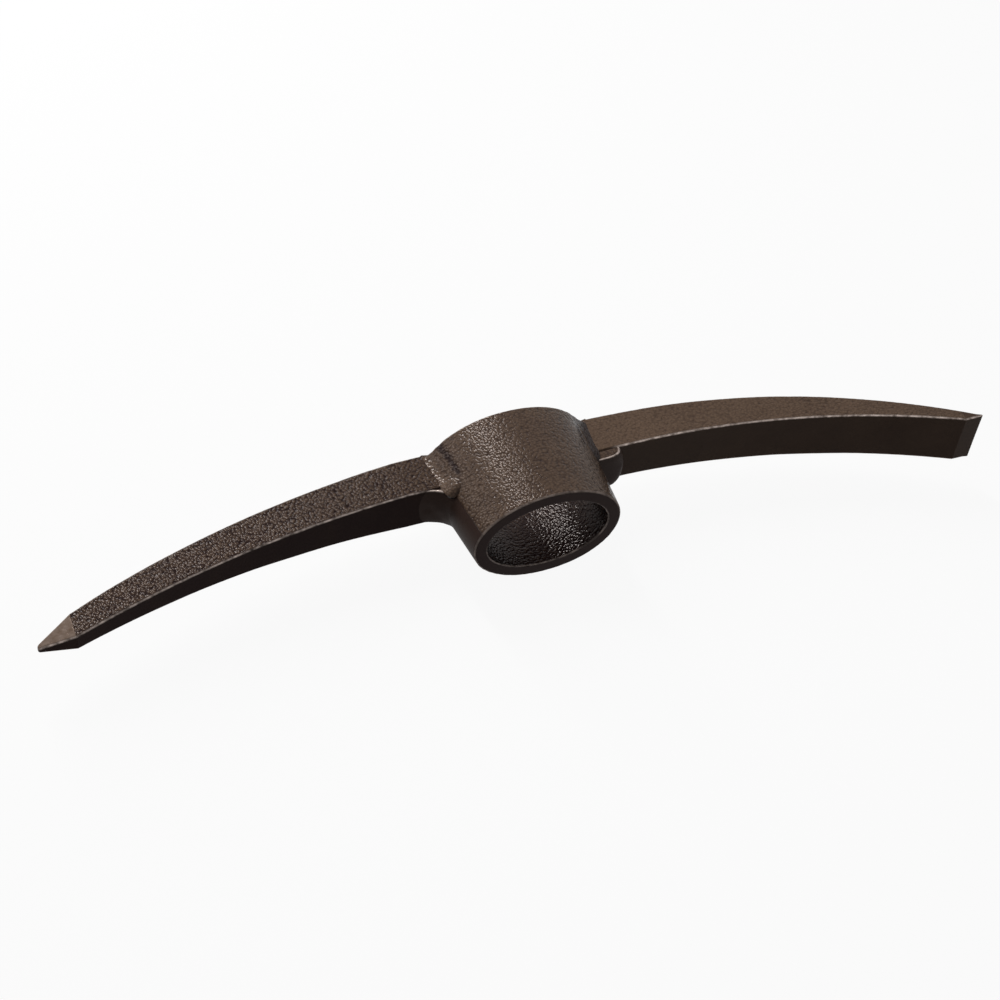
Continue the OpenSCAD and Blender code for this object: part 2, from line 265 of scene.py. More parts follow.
# Node group for the colour and gloss of the enamel. The tone of the piece, wide patches and the painted shade
# in the creases between the pebbles add up and go from the deep colour to the bright one. Rubbed edges show
# the worn colour where a noise is high, with the steel's metallic sheen; that lighter colour is part wear and
# part painted highlight. Pebbled or bright paint is glossier.
def makeEnamelGroup():
    group = bpy.data.node_groups.new("enamelTone", "ShaderNodeTree")
    for name, kind in (("Vector", "Vector"), ("Grain", "Float"), ("Tone", "Float"), ("Wearsheen", "Float"),
                       ("Deep", "Color"), ("Bright", "Color"), ("Wornsheen", "Color"), ("Rough", "Float")):
        group.interface.new_socket(name, in_out="INPUT", socket_type="NodeSocket" + kind)
    for name, kind in (("Color", "Color"), ("Roughness", "Float"), ("Metallic", "Float")):
        group.interface.new_socket(name, in_out="OUTPUT", socket_type="NodeSocket" + kind)
    nodes, links = group.nodes, group.links
    inside = nodes.new("NodeGroupInput")
    outside = nodes.new("NodeGroupOutput")
    patches = noiseNode(nodes, enamel["patchScale"], enamel["patchDetail"])
    rubSheen = noiseNode(nodes, enamel["wearSheenScale"], enamel["wearSheenDetail"])
    pebbles = pebbleNode(nodes)
    patchTone = mathNode(nodes, "MULTIPLY_ADD", second=enamel["patchShare"], third=-enamel["patchShare"] / 2)
    # Painted shade: the creases between the pebbles are darkened in the colour
    creaseShade = mathNode(nodes, "MULTIPLY", second=enamel["creaseShadeShare"])
    patchToneAndCreaseShade = mathNode(nodes, "MULTIPLY_ADD")
    tone = mathNode(nodes, "ADD")
    # Where the edges are rubbed: the worn colour there is part wear and part painted highlight
    rubSheenMask = mathNode(nodes, "MULTIPLY_ADD", second=enamel["wearSheenGain"], third=enamel["wearSheenStart"])
    rubSheenMask.use_clamp = True
    wearsheen = mathNode(nodes, "MULTIPLY")
    glossy = mathNode(nodes, "MAXIMUM")
    glossy.use_clamp = True
    rough = mathNode(nodes, "MULTIPLY_ADD", second=enamel["gloss"])
    paint = blendNode(nodes)
    colour = blendNode(nodes)
    for texture in (patches, rubSheen, pebbles):
        links.new(inside.outputs["Vector"], texture.inputs["Vector"])
    links.new(patches.outputs["Fac"], patchTone.inputs[0])
    links.new(pebbles.outputs["Distance"], creaseShade.inputs[0])
    links.new(inside.outputs["Grain"], patchToneAndCreaseShade.inputs[0])
    links.new(creaseShade.outputs[0], patchToneAndCreaseShade.inputs[1])
    links.new(patchTone.outputs[0], patchToneAndCreaseShade.inputs[2])
    links.new(inside.outputs["Tone"], tone.inputs[0])
    links.new(patchToneAndCreaseShade.outputs[0], tone.inputs[1])
    links.new(rubSheen.outputs["Fac"], rubSheenMask.inputs[0])
    links.new(rubSheenMask.outputs[0], wearsheen.inputs[0])
    links.new(inside.outputs["Wearsheen"], wearsheen.inputs[1])
    links.new(tone.outputs[0], paint.inputs["Factor"])
    links.new(inside.outputs["Deep"], paint.inputs["A"])
    links.new(inside.outputs["Bright"], paint.inputs["B"])
    links.new(wearsheen.outputs[0], colour.inputs["Factor"])
    links.new(paint.outputs["Result"], colour.inputs["A"])
    links.new(inside.outputs["Wornsheen"], colour.inputs["B"])
    links.new(colour.outputs["Result"], outside.inputs["Color"])
    links.new(wearsheen.outputs[0], outside.inputs["Metallic"])
    links.new(inside.outputs["Grain"], glossy.inputs[0])
    links.new(inside.outputs["Tone"], glossy.inputs[1])
    links.new(glossy.outputs[0], rough.inputs[0])
    links.new(inside.outputs["Rough"], rough.inputs[2])
    links.new(rough.outputs[0], outside.inputs["Roughness"])
    return group


# Node group for the height of the relief that is too small for the mesh: round pebbles, one less the squared
# distance to their middles, and a finer grain, with little of both on smooth steel
def makeReliefGroup():
    group = bpy.data.node_groups.new("paintRelief", "ShaderNodeTree")
    for name, kind in (("Vector", "Vector"), ("Grain", "Float")):
        group.interface.new_socket(name, in_out="INPUT", socket_type="NodeSocket" + kind)
    group.interface.new_socket("Height", in_out="OUTPUT", socket_type="NodeSocketFloat")
    nodes, links = group.nodes, group.links
    inside = nodes.new("NodeGroupInput")
    outside = nodes.new("NodeGroupOutput")
    pebbles = pebbleNode(nodes)
    fine = noiseNode(nodes, enamel["fineScale"], enamel["fineDetail"])
    squared = mathNode(nodes, "MULTIPLY")
    dome = mathNode(nodes, "SUBTRACT", first=1.0)
    both = mathNode(nodes, "MULTIPLY_ADD", second=enamel["fineShare"])
    share = mathNode(nodes, "ADD", second=enamel["smoothShare"])
    graded = mathNode(nodes, "MULTIPLY")
    links.new(inside.outputs["Vector"], pebbles.inputs["Vector"])
    links.new(inside.outputs["Vector"], fine.inputs["Vector"])
    links.new(pebbles.outputs["Distance"], squared.inputs[0])
    links.new(pebbles.outputs["Distance"], squared.inputs[1])
    links.new(squared.outputs[0], dome.inputs[1])
    links.new(fine.outputs["Fac"], both.inputs[0])
    links.new(dome.outputs[0], both.inputs[2])
    links.new(inside.outputs["Grain"], share.inputs[0])
    links.new(both.outputs[0], graded.inputs[0])
    links.new(share.outputs[0], graded.inputs[1])
    links.new(graded.outputs[0], outside.inputs["Height"])
    return group


enamelGroup = makeEnamelGroup()
reliefGroup = makeReliefGroup()

hammeredPaint = {
    "deep": (0.014, 0.0066, 0.006, 1),
    "bright": (0.108, 0.071, 0.049, 1),
    # lighter colour of rubbed edges, part wear and part painted highlight
    "wornsheen": (0.50, 0.42, 0.38, 1),
    "rough": 0.6,
    "bump": 1.0,
    "bumpHeight": 0.00027,  # metres
    "specular": 0.1,
    "tint": (1.0, 0.86, 0.80, 1),
}
# The arms are duller, and the welds a little smoother
armPaint = dict(hammeredPaint, specular=0.045)
weldPaint = dict(hammeredPaint, bump=0.9)


# Enamel on steel: the two groups feed colour, roughness, metallic and bump. What is the same all over sits on
# the shader.
def makePaint(name, values):
    material = bpy.data.materials.new(name)
    material.use_nodes = True
    nodes, links = material.node_tree.nodes, material.node_tree.links
    shader = nodes["Principled BSDF"]
    shader.inputs["Specular IOR Level"].default_value = values["specular"]
    shader.inputs["Specular Tint"].default_value = values["tint"]
    place = nodes.new("ShaderNodeTexCoord")
    tone = nodes.new("ShaderNodeGroup")
    tone.node_tree = enamelGroup
    for socket in ("Deep", "Bright", "Wornsheen", "Rough"):
        tone.inputs[socket].default_value = values[socket.lower()]
    height = nodes.new("ShaderNodeGroup")
    height.node_tree = reliefGroup
    bump = nodes.new("ShaderNodeBump")
    bump.inputs["Strength"].default_value = values["bump"]
    bump.inputs["Distance"].default_value = values["bumpHeight"]
    for socket, groups in (("Grain", (tone, height)), ("Tone", (tone,)), ("Wearsheen", (tone,))):
        look = nodes.new("ShaderNodeAttribute")
        look.attribute_name = socket.lower()
        for group in groups:
            links.new(look.outputs["Fac"], group.inputs[socket])
    for group in (tone, height):
        links.new(place.outputs["Object"], group.inputs["Vector"])
    links.new(tone.outputs["Color"], shader.inputs["Base Color"])
    links.new(tone.outputs["Roughness"], shader.inputs["Roughness"])
    links.new(tone.outputs["Metallic"], shader.inputs["Metallic"])
    links.new(height.outputs["Height"], bump.inputs["Height"])
    links.new(bump.outputs["Normal"], shader.inputs["Normal"])
    return material


paintMaterial = makePaint("hammeredPaint", hammeredPaint)
armMaterial = makePaint("armPaint", armPaint)
weldMaterial = makePaint("paintedWeld", weldPaint)
print("materials: hammered paint, the duller paint of the arms and painted weld")

# The square bar of both arms where it meets the eye, in millimetres
bar = {
    "width": 25.4,
    "depth": 26.4,
    "rise": 1.0,            # height of the backs above the crown
    "shank": 20.0,          # length of full width at the eye
    "edge": 1.3,            # radius of the long edges
    "edgeLimitShare": 0.8,  # most of a half side that the radius may take
    "bury": 2.0,            # how far the root runs into the wall of the eye
    "copeEnd": 58.0,        # from here on the rows of points are square to x
    "rows": 410,
    "copeRows": 24,
    "groundRows": 40,
    "endRows": 5,
    "sideColumns": 36,
    "cornerColumns": 7,
    "groundGrainShare": 0.25,
    "bellyGrainShare": 0.06,
    "backGrainShare": 0.7,
    "backToneShare": 0.88,
    "backWearSheenShare": 0.25,  # how rubbed the edges of the back are, where those of the belly are 1; the lighter colour is part painted highlight
    "wearSheenStart": 52.0,      # the edges near the eye are not rubbed and get no painted highlight
    "wearSheenFull": 62.0,
}
# The eye, in millimetres, with its hole as it is at the mouth
eyeRing = {
    "holeLength": 70.0,
    "holeWidth": 44.5,
    "wall": 8.0,
    "flare": 5.8,           # how far each end leans out from the mouth to the crown
    "rimEdge": 1.1,         # radius of the rims' edges
    "around": 400,
    "wallRows": 98,
    "rimRows": 12,
    "edgeRows": 5,
    "smoothGrainShare": 0.05,
    "toneShare": 1.0,
    # painted shade on the flat rims
    "rimShadeToneShare": 0.0,
    # painted shade in the hole
    "holeShadeToneShare": 0.4,
    # rubbed rim edges: part wear and part painted highlight
    "rimWearSheenShare": 0.4,
    "band": 0.2,            # how far the smooth ends below the bars lie under the rest of the wall
    "bandEdge": 0.6,        # width of their edge
    # painted shade on the smooth ends below the bars
    "bandShadeToneShare": 0.12,
    "groove": 0.3,          # depth of the line along the toes of the side welds
    "grooveWidth": 1.3,
    # painted shade in the line along the toes
    "grooveShadeToneShare": 0.3,
    "grooveY": 19.6,        # its distance from the middle plane of the head
    "grooveLow": 5.0,       # heights between which it fades in
    "grooveFull": 11.0,
}
eyeLow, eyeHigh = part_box("eye_ring")
mouth = eyeLow.y / mm
crown = eyeHigh.y / mm
eyeHalf = eyeRing["holeLength"] / 2 + eyeRing["wall"]
eyeAspect = (eyeRing["holeWidth"] / 2 + eyeRing["wall"]) / eyeHalf
holeAspect = eyeRing["holeWidth"] / eyeRing["holeLength"]
rootX = eyeHalf + eyeRing["flare"] / 2
rootBack = crown + bar["rise"]
rootBelly = rootBack - bar["depth"]
barHalf = bar["width"] / 2


# Half length of the oval's outside at height z: it grows evenly from the mouth to the crown
def eyeHalfLength(z):
    return eyeHalf + eyeRing["flare"] * (z - mouth) / (crown - mouth)


# End of the oval at (y, z): half length times the root of one minus the squared share of the half width
def wallX(y, z):
    half = eyeHalfLength(z)
    return half * np.sqrt(np.clip(1 - (y / (half * eyeAspect)) ** 2, 0, 1))


# Outward normal of the eye's wall: the gradient of its oval cone
def wallNormal(points):
    half = eyeHalfLength(points[..., 2])
    alongX = points[..., 0] / half ** 2
    alongY = points[..., 1] / (half * eyeAspect) ** 2
    lean = -eyeRing["flare"] / (crown - mouth) / half
    return unit(np.stack([alongX, alongY, lean], axis=-1))


# The eye is a closed profile carried round the oval. One profile point is a height z, a share w of the wall,
# 0 on the hole and 1 outside, and its share of rubbed edge, which is part wear and part painted highlight.
# They go up the outside, over the crown rim, down the hole and back over the mouth rim, with quarter rounds
# on the four edges. The outside is let in where it is ground smooth below the bars, and along the toes of the
# side welds. The hole, the flat rims, those smooth ends and the line along the toes are darker in tone as
# painted shade.
def makeEyeRing():
    edge = eyeRing["rimEdge"]
    edgeShare = edge / eyeRing["wall"]
    highEdge = crown - edge
    lowEdge = mouth + edge
    bend = np.linspace(0, quarterTurn, eyeRing["edgeRows"] + 2)[1:-1]
    rise = np.linspace(lowEdge, highEdge, eyeRing["wallRows"])
    rim = np.linspace(1 - edgeShare, edgeShare, eyeRing["rimRows"])
    plainRise = np.zeros_like(rise)
    plainRim = np.zeros_like(rim)
    rubSheen = eyeRing["rimWearSheenShare"] * np.sin(2 * bend)
    profile = [
        np.stack([rise, plainRise + 1, plainRise]),
        np.stack([highEdge + edge * np.sin(bend), 1 - edgeShare * (1 - np.cos(bend)), rubSheen]),
        np.stack([plainRim + crown, rim, plainRim]),
        np.stack([highEdge + edge * np.cos(bend), edgeShare * (1 - np.sin(bend)), rubSheen]),
        np.stack([rise[::-1], plainRise, plainRise]),
        np.stack([lowEdge - edge * np.sin(bend), edgeShare * (1 - np.cos(bend)), rubSheen]),
        np.stack([plainRim + mouth, rim[::-1], plainRim]),
        np.stack([lowEdge - edge * np.cos(bend), 1 - edgeShare * (1 - np.sin(bend)), rubSheen]),
    ]
    z, w, wearsheen = np.concatenate(profile, axis=1)
    outLength = eyeHalfLength(z)
    holeHalf = outLength - eyeRing["wall"]
    halfLength = mix(holeHalf, outLength, w)
    halfWidth = mix(holeHalf * holeAspect, outLength * eyeAspect, w)
    turn = np.linspace(0, 2 * math.pi, eyeRing["around"], endpoint=False)
    height = np.broadcast_to(z[:, None], (len(z), len(turn)))
    grid = np.stack([np.outer(halfLength, np.cos(turn)), np.outer(halfWidth, np.sin(turn)), height], axis=-1)
    onOutside = (w > 1 - edgeShare)[:, None]
    sideways = np.abs(grid[..., 1])
    band = smoothStep(barHalf, barHalf - eyeRing["bandEdge"], sideways) * onOutside * (height < rootBelly)
    groove = np.exp(-((sideways - eyeRing["grooveY"]) / eyeRing["grooveWidth"]) ** 2) * onOutside
    groove = groove * smoothStep(eyeRing["grooveLow"], eyeRing["grooveFull"], height)
    letIn = eyeRing["band"] * band + eyeRing["groove"] * groove
    grid = grid - letIn[..., None] * wallNormal(grid)
    onRim = ((z == mouth) | (z == crown))[:, None]
    smooth = np.maximum(onRim, band)
    # Painted shade: the hole, the rims, the smooth ends below the bars and the line along the toes are darker
    tone = mix(eyeRing["holeShadeToneShare"], eyeRing["toneShare"], w)[:, None]
    tone = np.where(onRim, eyeRing["rimShadeToneShare"], tone)
    tone = mix(mix(tone, eyeRing["bandShadeToneShare"], band), eyeRing["grooveShadeToneShare"], groove)
    looks = {"grain": mix(1.0, eyeRing["smoothGrainShare"], smooth), "tone": tone, "wearsheen": wearsheen[:, None]}
    makePiece("eyeRing", "eye_ring", grid, looks, True, paintMaterial)


makeEyeRing()

# Arms, in millimetres: reach is the end from the middle of the eye, drop how far the back has fallen below
# the crown there, and ground the length of the ground tip
pointArm = {
    "name": "pointArm",
    "node": "point_arm",
    "side": -1,
    "reach": -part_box("point_arm")[0].x / mm,
    "drop": 52.0,
    "tipDepth": 14.5,       # depth at the reach before it is ground
    "bellyRadius": 560.0,
    "midWidth": 15.6,       # width halfway along the taper
    "tipWidth": 8.6,
    "ground": 19.0,
    "blunt": 3.0,           # side of the square at the very tip
    "tipShare": 0.66,       # height of the tip in the depth of the bar
    "endRound": 1.0,
    "sideGrainShare": 1.35,
    # painted shade: the sides of this arm are darker than the eye's paint
    "sideShadingToneShare": 0.88,
    # painted highlight: the ground tip is lighter
    "groundToneShare": 1.1,
    # ground tip faces: part thin worn paint and part painted highlight
    "groundWearSheenShare": 0.18,
    # painted shade: the belly, which faces down, is darker
    "bellyShadeToneShare": 0.04,
    "wearSheenShare": 0.85,
}
chiselArm = {
    "name": "chiselArm",
    "node": "chisel_arm",
    "side": 1,
    "reach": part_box("chisel_arm")[1].x / mm,
    "drop": 68.5,
    "tipDepth": 6.0,
    "bellyRadius": 472.0,
    "midWidth": 29.8,
    "tipWidth": 33.0,
    "ground": 11.0,
    "land": 0.9,            # height of the flat at the edge
    "endRound": 0.35,
    "sideGrainShare": 0.75,
    # painted light: the sides of this arm are lighter than the eye's paint
    "sideShadingToneShare": 1.12,
    "groundToneShare": 0.6,
    "groundWearSheenShare": 0.0,
    # painted shade: the belly, which faces down, is darker
    "bellyShadeToneShare": 0.48,
    "wearSheenShare": 1.0,
}


# Back of an arm: an arc that leaves the eye level and falls below the crown by the drop at the reach
def backZ(arm, x):
    run = arm["reach"] - rootX
    fall = bar["rise"] + arm["drop"]
    radius = (run ** 2 + fall ** 2) / (2 * fall)
    return rootBack - radius + np.sqrt(radius ** 2 - np.clip(x - rootX, 0, None) ** 2)


# Belly of an arm: an arc of its own radius through its depth at the eye and its depth at the reach
def bellyZ(arm, x):
    run = arm["reach"] - rootX
    fall = rootBelly - (crown - arm["drop"] - arm["tipDepth"])
    chord = math.hypot(run, fall)
    rise = math.sqrt(arm["bellyRadius"] ** 2 - (chord / 2) ** 2)
    centreX = rootX + run / 2 - rise * fall / chord
    centreZ = rootBelly - fall / 2 - rise * run / chord
    return centreZ + np.sqrt(arm["bellyRadius"] ** 2 - (x - centreX) ** 2)


# Width of an arm: full along the shank, then a parabola through its middle and tip widths
def armWidth(arm, x):
    start = rootX + bar["shank"]
    u = np.clip((x - start) / (arm["reach"] - start), 0, 1)
    first, middle, last = bar["width"], arm["midWidth"], arm["tipWidth"]
    return first + (4 * middle - 3 * first - last) * u + (2 * first + 2 * last - 4 * middle) * u ** 2


# Half width, belly and back of the four ground faces: straight from the full bar to the tip's blunt square
def groundPoint(arm, x, t):
    start = arm["reach"] - arm["ground"]
    tip = mix(bellyZ(arm, arm["reach"]), backZ(arm, arm["reach"]), arm["tipShare"])
    half = mix(armWidth(arm, start), arm["blunt"], t) / 2
    low = mix(bellyZ(arm, start), tip - arm["blunt"] / 2, t)
    return half, low, mix(backZ(arm, start), tip + arm["blunt"] / 2, t)


# Half width, belly and back of the bevel: the belly rises straight to the land below the end of the back
def groundChisel(arm, x, t):
    start = arm["reach"] - arm["ground"]
    low = mix(bellyZ(arm, start), backZ(arm, arm["reach"]) - arm["land"], t)
    return armWidth(arm, x) / 2, low, backZ(arm, x)


# Walk round a rectangle with round corners, a corner and then a side for each quarter turn. Each point has
# its place from -1 to 1 across and up, and the direction in which its corner is rounded.
def sectionWalk():
    corner = np.linspace(0, quarterTurn, bar["cornerColumns"])
    side = np.linspace(1, -1, bar["sideColumns"] + 2)[1:-1]
    cornerOnes = np.ones_like(corner)
    sideOnes = np.ones_like(side)
    parts = []
    for quarter in range(4):
        turn = corner + quarter * quarterTurn
        cornerY = 1 if quarter in (0, 3) else -1
        cornerZ = 1 if quarter < 2 else -1
        normalY = round(math.cos((quarter + 1) * quarterTurn))
        normalZ = round(math.sin((quarter + 1) * quarterTurn))
        parts.append(np.stack([cornerY * cornerOnes, cornerZ * cornerOnes, np.cos(turn), np.sin(turn)]))
        sideY = normalY + side * normalZ
        sideZ = normalZ - side * normalY
        parts.append(np.stack([sideY, sideZ, normalY * sideOnes, normalZ * sideOnes]))
    return np.concatenate(parts, axis=1)


# An arm is that walk carried along x. The root rows follow the wall of the eye, the body rows are square to
# x, the ground rows follow the ground faces, and the end rows draw in along a quarter round.
def makeArm(arm, groundFaces):
    y, z, normalY, normalZ = sectionWalk()
    rootY = y * (barHalf - bar["edge"]) + bar["edge"] * normalY
    middle = (rootBack + rootBelly) / 2
    rootZ = middle + z * (bar["depth"] / 2 - bar["edge"]) + bar["edge"] * normalZ
    cope = wallX(rootY, rootZ) - bar["bury"]
    start = arm["reach"] - arm["ground"]
    rootPart = np.linspace(0, 1, bar["copeRows"], endpoint=False)[:, None]
    body = np.linspace(bar["copeEnd"], start, bar["rows"], endpoint=False)
    ground = np.linspace(start, arm["reach"] - arm["endRound"], bar["groundRows"])
    bend = np.linspace(0, quarterTurn, bar["endRows"] + 1)[1:]
    end = arm["reach"] - arm["endRound"] * (1 - np.sin(bend))
    square = np.concatenate([body, ground, end])[:, None]
    x = np.concatenate([mix(cope, bar["copeEnd"], rootPart), np.broadcast_to(square, (len(square), len(y)))])
    inset = np.concatenate([np.zeros(len(x) - len(bend)), arm["endRound"] * (1 - np.cos(bend))])[:, None]
    t = np.clip((x - start) / arm["ground"], 0, 1)
    onGround = t > 0
    groundHalf, groundLow, groundHigh = groundFaces(arm, x, t)
    half = np.where(onGround, groundHalf, armWidth(arm, x) / 2) - inset
    low = np.where(onGround, groundLow, bellyZ(arm, x)) + inset
    high = np.where(onGround, groundHigh, backZ(arm, x)) - inset
    depth = (high - low) / 2
    radius = np.minimum(bar["edge"], bar["edgeLimitShare"] * np.minimum(half, depth))
    gridY = y * (half - radius) + radius * normalY
    gridZ = (low + high) / 2 + z * (depth - radius) + radius * normalZ
    grid = np.stack([arm["side"] * x, gridY, gridZ], axis=-1)
    facesDown = np.clip(-normalZ, 0, 1)
    facesUp = np.clip(normalZ, 0, 1)
    grain = mix(mix(arm["sideGrainShare"], bar["bellyGrainShare"], facesDown), bar["backGrainShare"], facesUp)
    # Painted light and shade: each arm's sides and ground faces get their own tone of the same paint
    sideTone = np.where(onGround, arm["groundToneShare"], arm["sideShadingToneShare"])
    # Painted shade: faces turned down towards the belly get a darker tone
    tone = mix(sideTone, arm["bellyShadeToneShare"], facesDown)
    # Rubbed long edges: the lighter colour there is part wear and part painted highlight
    edgeWearSheen = (2 * normalY * normalZ) ** 2 * np.where(normalZ > 0, bar["backWearSheenShare"], 1.0)
    edgeWearSheen = edgeWearSheen * smoothStep(bar["wearSheenStart"], bar["wearSheenFull"], x) * arm["wearSheenShare"]
    looks = {
        "grain": grain * np.where(onGround, bar["groundGrainShare"], 1.0),
        "tone": mix(tone, bar["backToneShare"], facesUp),
        "wearsheen": np.maximum(edgeWearSheen, arm["groundWearSheenShare"] * onGround * (1 - facesDown)),
    }
    makePiece(arm["name"], arm["node"], grid, looks, False, armMaterial)


makeArm(pointArm, groundPoint)
makeArm(chiselArm, groundChisel)

# Weld runs, in millimetres. Legs reach along the bar and down the eye. A fullness of 1 is a flat face, less
# is hollow and more is full.
welds = {
    "sideStops": 92,
    "underStops": 84,
    "facePoints": 28,
    "barToeSink": 0.1,      # how far the toes of the faces run into the bar and the eye
    "eyeToeSink": 0.5,
    "crownRound": 3.0,      # length over which a side run comes up from the steel at the crown
    "crownSink": 2.2,       # how deep it lies there
    "crownFlare": 8.8,      # length over which its legs flare
    "swell": 0.2,           # how far the middles of the faces stand out
    "sink": 1.4,            # how deep the closed side of a run lies in the steel
    "lump": 0.3,            # height of the lumps on the faces
    "lumpSize": 5.0,
    "wanderShare": 0.1,     # how much the legs wander
    "wanderSize": 8.0,
    "endShare": 0.97,       # how far the round end of a run is followed before it is closed
    "grainShare": 1.0,
    "underGrainShare": 0.06,
    # painted shade under the belly, and lighter rounded ends as painted highlight
    "underShadeToneShare": 0.12,
    "underEndHighlightToneShare": 0.85,
    "crownToneShare": 1.0,
    "seed": 51,
}
pointWeld = {
    "name": "pointWeld",
    "node": "point_weld",
    "arm": pointArm,
    "sideBarLeg": 4.5,
    "sideEyeLeg": 6.8,
    "sideFullness": 0.52,
    "crownFlareShare": 0.1,
    "barShadingToneShare": 1.2,    # painted highlight on the crest beside the bar, painted shade at the toe on the eye
    "eyeShadingToneShare": 0.6,
    "endFullness": 1.5,     # the front run ends in a round drop
    "endTaper": 3.0,        # height from which the legs draw in
    "endSwell": 12.0,       # height from which the fullness changes
    "endZ": -2.0,           # height of the end
    "underBarLeg": 13.0,
    "underEyeLeg": 9.5,
    "underFullness": 0.6,
}
chiselWeld = {
    "name": "chiselWeld",
    "node": "chisel_weld",
    "arm": chiselArm,
    "sideBarLeg": 2.8,
    "sideEyeLeg": 6.8,
    "sideFullness": 0.6,
    "crownFlareShare": 0.2,
    # painted shade: the chisel weld's face is dark, most beside the bar
    "barShadingToneShare": 0.0,
    "eyeShadingToneShare": 0.4,
    "endFullness": 0.8,
    "endTaper": 9.5,
    "endSwell": 10.0,
    "endZ": 0.0,
    "underBarLeg": 14.6,
    "underEyeLeg": 6.2,
    "underFullness": 3.2,
}


# Ring of points at each stop of a run. The face is a superellipse between the two legs: the cosine and the
# sine to the power of two over the fullness say how far it goes along the bar and along the wall. It closes
# through a root in the steel. inset draws the face back towards the root, and under is 1 where the toe on the
# bar follows the belly of the arm.
def weldRings(foot, barOut, barLeg, eyeLeg, fullness, inset, arm, under):
    eyeOut = wallNormal(foot)
    alongWall = unit(barOut - np.sum(barOut * eyeOut, axis=1, keepdims=True) * eyeOut)
    barX = foot[:, 0] + barLeg
    barFoot = np.stack([barX, foot[:, 1], foot[:, 2] + under * (bellyZ(arm, barX) - rootBelly)], axis=-1)
    angle = np.linspace(0, quarterTurn, welds["facePoints"])[None, :]
    alongBar = np.clip(np.cos(angle), 0, 1) ** (2 / fullness[:, None])
    downEye = np.sin(angle) ** (2 / fullness[:, None])
    climb = foot[:, None] + (downEye * eyeLeg[:, None])[..., None] * alongWall[:, None]
    onWall = np.stack([wallX(climb[..., 1], climb[..., 2]), climb[..., 1], climb[..., 2]], axis=-1)
    between = unit(barOut + eyeOut)
    face = onWall + alongBar[..., None] * (barFoot - foot)[:, None]
    lump = smoothNoise(face.reshape(-1, 3), welds["lumpSize"], welds["seed"]).reshape(face.shape[:2])
    arch = np.sin(2 * angle) ** 2
    toeSink = mix(welds["barToeSink"], welds["eyeToeSink"], downEye)
    rise = arch * (welds["swell"] + welds["lump"] * lump) - toeSink - inset[:, None]
    face = face + rise[..., None] * between[:, None]
    root = foot - welds["sink"] * (barOut + eyeOut)
    sunkBar = face[:, 0] - welds["sink"] * barOut
    sunkEye = face[:, -1] - welds["sink"] * wallNormal(onWall[:, -1])
    return np.concatenate([root[:, None], sunkBar[:, None], face, sunkEye[:, None]], axis=1)


# Share by which the legs of a run wander along its length: one plus a little smooth noise of the travel
def legWander(travel):
    line = np.stack([travel, np.zeros_like(travel), np.zeros_like(travel)], axis=-1)
    return 1 + welds["wanderShare"] * smoothNoise(line, welds["wanderSize"], welds["seed"])


# A finished run: mirrored on to its arm's side and, for the back, from front to back
def makeRun(weld, place, rings, across, looks):
    rings = rings * np.array([weld["arm"]["side"], across, 1])
    node = weld["node"] + "_" + place.lower()
    makePiece(weld["name"] + place, node, rings, looks, False, weldMaterial)


# Quarter round: how far a face is drawn back, up to the depth, at a distance from its end within the length
def endRound(distance, length, depth):
    past = np.clip(1 - distance / length, 0, 1)
    return depth * (1 - np.sqrt(1 - past ** 2))


# A run down the side of the bar and on below it: its legs flare at the crown and round off at the lower end
def sideRings(weld, endZ, endTaper, endFullness):
    z = np.linspace(crown, endZ, welds["sideStops"])
    y = np.full_like(z, -barHalf)
    foot = np.stack([wallX(y, z), y, z], axis=-1)
    barOut = np.broadcast_to([0.0, -1.0, 0.0], foot.shape)
    flare = 1 + weld["crownFlareShare"] * smoothStep(crown - welds["crownFlare"], crown, z)
    past = np.clip((endTaper - z) / (endTaper - endZ), 0, welds["endShare"])
    legShare = flare * np.sqrt(1 - past ** 2) * legWander(z)
    fullness = mix(weld["sideFullness"], endFullness, smoothStep(weld["endSwell"], endTaper, z))
    barLeg = weld["sideBarLeg"] * legShare
    eyeLeg = weld["sideEyeLeg"] * legShare
    inset = endRound(crown - z, welds["crownRound"], welds["crownSink"])
    return weldRings(foot, barOut, barLeg, eyeLeg, fullness, inset, weld["arm"], 0)


# Front run to its own end, and back run to the edge of the belly. The points in the steel before and after
# the face have no tone.
def makeSideRuns(weld):
    front = sideRings(weld, weld["endZ"], weld["endTaper"], weld["endFullness"])
    back = sideRings(weld, rootBelly, rootBelly + weld["sideEyeLeg"], weld["sideFullness"])
    buried = np.zeros(2)
    # Painted light and shade across the face, from the tone beside the bar to the tone at the eye
    face = mix(weld["barShadingToneShare"], weld["eyeShadingToneShare"], np.linspace(0, 1, welds["facePoints"]) ** 2)
    tone = np.concatenate([buried, face, buried[:1]])
    looks = {"grain": welds["grainShare"], "tone": tone, "wearsheen": 0.0}
    makeRun(weld, "Front", front, 1, looks)
    makeRun(weld, "Back", back, -1, looks)


